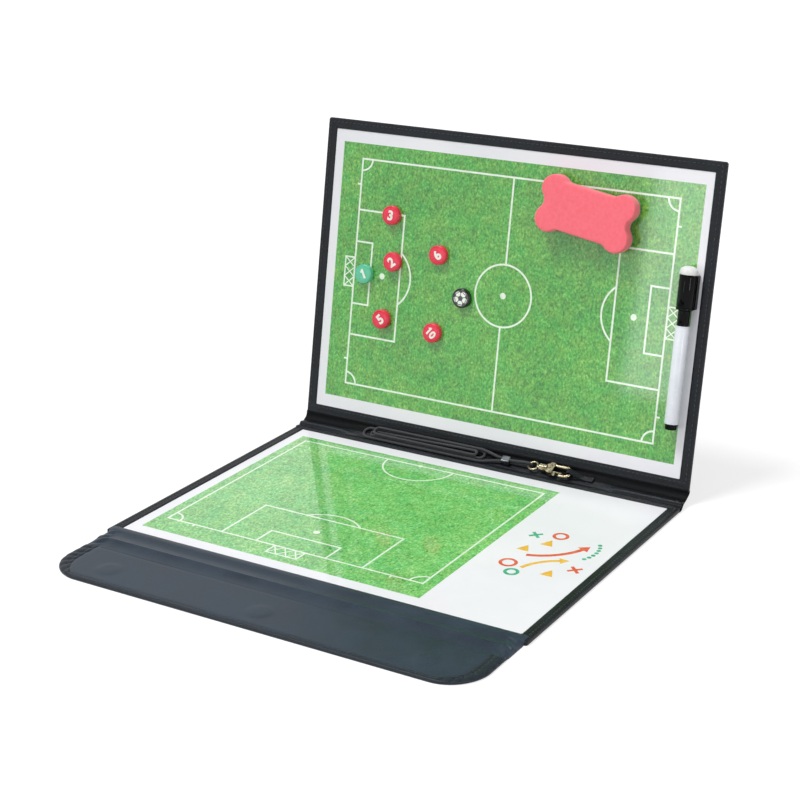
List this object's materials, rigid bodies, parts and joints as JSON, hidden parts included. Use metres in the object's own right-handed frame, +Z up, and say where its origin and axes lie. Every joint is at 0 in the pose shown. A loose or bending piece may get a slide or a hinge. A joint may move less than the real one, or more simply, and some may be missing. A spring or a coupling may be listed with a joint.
{
  "type": "folding magnetic tactics board",
  "caption": "Folding coach's board: two stiff leaves with magnetic pitch sheets on a soft spine, closing flap, sliding disc markers, eraser, capped pen and a cord lanyard with swivel clasp.",
  "frame": {"origin": "middle of the lower leaf's underside", "axes": "+Z up, +X along the spine to the right, +Y from the flap to the spine"},
  "size_m": [0.31, 0.3416, 0.2288],
  "materials": {
    "skin": "fine-grained imitation leather, slight sheen",
    "grey_board": "grey board",
    "steel_sheet": "plain",
    "pitch_print": "printed sheet under clear film",
    "magnet": "dark ferrite",
    "disc_red": "printed, glossy",
    "disc_green": "printed, glossy",
    "disc_black": "printed, glossy",
    "eraser_foam": "closed-cell foam, matt",
    "felt": "felt",
    "pen_black": "glossy",
    "pen_white": "glossy",
    "cord": "braided",
    "bright_metal": "plated",
    "clasp_metal": "plated, slightly aged"
  },
  "bodies": {
    "lower_leaf": {"lower_cover": "skin", "lower_board": "grey_board", "lower_steel": "steel_sheet", "lower_print": "pitch_print", "lower_border": "skin"},
    "spine": {"spine_cover": "skin", "spine_lining": "skin", "lanyard_tab": "skin", "lanyard_cord": "cord", "lanyard_crimp": "bright_metal", "lanyard_loop": "cord", "swivel_eye": "clasp_metal"},
    "rear_leaf": {"rear_cover": "skin", "rear_board": "grey_board", "rear_steel": "steel_sheet", "rear_print": "pitch_print", "rear_border": "skin"},
    "gusset": {"gusset_cover": "skin", "gusset_lining": "skin"},
    "flap": {"flap_cover": "skin", "flap_lining": "skin", "flap_stiffener": "grey_board", "flap_magnets": "magnet"},
    "player_1": {"player_1_cap": "disc_green", "player_1_face": "disc_green", "player_1_magnet": "magnet"},
    "player_2": {"player_2_cap": "disc_red", "player_2_face": "disc_red", "player_2_magnet": "magnet"},
    "player_3": {"player_3_cap": "disc_red", "player_3_face": "disc_red", "player_3_magnet": "magnet"},
    "player_5": {"player_5_cap": "disc_red", "player_5_face": "disc_red", "player_5_magnet": "magnet"},
    "player_6": {"player_6_cap": "disc_red", "player_6_face": "disc_red", "player_6_magnet": "magnet"},
    "player_10": {"player_10_cap": "disc_red", "player_10_face": "disc_red", "player_10_magnet": "magnet"},
    "ball": {"ball_cap": "disc_black", "ball_face": "disc_black", "ball_magnet": "magnet"},
    "eraser": {"eraser_foam": "eraser_foam", "eraser_felt": "felt", "eraser_magnet": "magnet"},
    "pen_cap": {"pen_cap": "pen_black", "pen_cap_magnet": "magnet", "pen_cap_felt": "felt"},
    "pen": {"pen_barrel": "pen_white", "pen_tail_plug": "pen_black", "pen_neck": "pen_black", "pen_nib": "felt", "pen_ink_core": "felt"},
    "clasp": {"clasp_body": "clasp_metal", "trigger_pin": "clasp_metal"},
    "clasp_trigger": {"clasp_trigger": "clasp_metal"}
  },
  "joints": [
    {"name": "spine_crease", "type": "hinge", "parent": "lower_leaf", "child": "spine", "pos_m": [0, 0.112, 0.0016], "axis": [-1, 0, 0], "range_deg": [-62, 28]},
    {"name": "rear_leaf_crease", "type": "hinge", "parent": "spine", "child": "rear_leaf", "pos_m": [0, 0.12569, 0.00888], "axis": [-1, 0, 0], "range_deg": [-38, 52]},
    {"name": "gusset_crease", "type": "hinge", "parent": "lower_leaf", "child": "gusset", "pos_m": [0, -0.112, 0.0024], "axis": [1, 0, 0], "range_deg": [-90, 0]},
    {"name": "flap_crease", "type": "hinge", "parent": "gusset", "child": "flap", "pos_m": [0, -0.1286, 0.0024], "axis": [1, 0, 0], "range_deg": [-90, 0]},
    {"name": "player_1_slide", "type": "slide", "parent": "rear_leaf", "child": "player_1", "axis": [0, 0.1736, 0.9848], "range_m": [-0.06, 0.06]},
    {"name": "player_2_slide", "type": "slide", "parent": "rear_leaf", "child": "player_2", "axis": [1, 0, 0], "range_m": [-0.014, 0.025]},
    {"name": "player_3_slide", "type": "slide", "parent": "rear_leaf", "child": "player_3", "axis": [1, 0, 0], "range_m": [-0.04, 0.1]},
    {"name": "player_5_slide", "type": "slide", "parent": "rear_leaf", "child": "player_5", "axis": [0, 0.1736, 0.9848], "range_m": [-0.058, 0.028]},
    {"name": "player_6_slide", "type": "slide", "parent": "rear_leaf", "child": "player_6", "axis": [1, 0, 0], "range_m": [-0.024, 0.17]},
    {"name": "player_10_slide", "type": "slide", "parent": "rear_leaf", "child": "player_10", "axis": [1, 0, 0], "range_m": [-0.028, 0.17]},
    {"name": "ball_slide", "type": "slide", "parent": "rear_leaf", "child": "ball", "axis": [1, 0, 0], "range_m": [-0.04, 0.15]},
    {"name": "eraser_slide", "type": "slide", "parent": "rear_leaf", "child": "eraser", "axis": [1, 0, 0], "range_m": [-0.1, 0.038]},
    {"name": "pen_cap_slide", "type": "slide", "parent": "rear_leaf", "child": "pen_cap", "axis": [1, 0, 0], "range_m": [-0.06, 0]},
    {"name": "pen_pull", "type": "slide", "parent": "pen_cap", "child": "pen", "axis": [0, -0.1736, -0.9848], "range_m": [0, 0.032]},
    {"name": "clasp_swivel", "type": "hinge", "parent": "spine", "child": "clasp", "pos_m": [0.0415, 0.11701, 0.00868], "axis": [1, 0, 0], "range_deg": [-12, 12]},
    {"name": "trigger_pivot", "type": "hinge", "parent": "clasp", "child": "clasp_trigger", "pos_m": [0.056, 0.11445, 0.00732], "axis": [0, -0.4695, 0.8829], "range_deg": [0, 25], "stiffness_Nm_per_rad": 0.02, "springref_deg": -11.46}
  ]
}
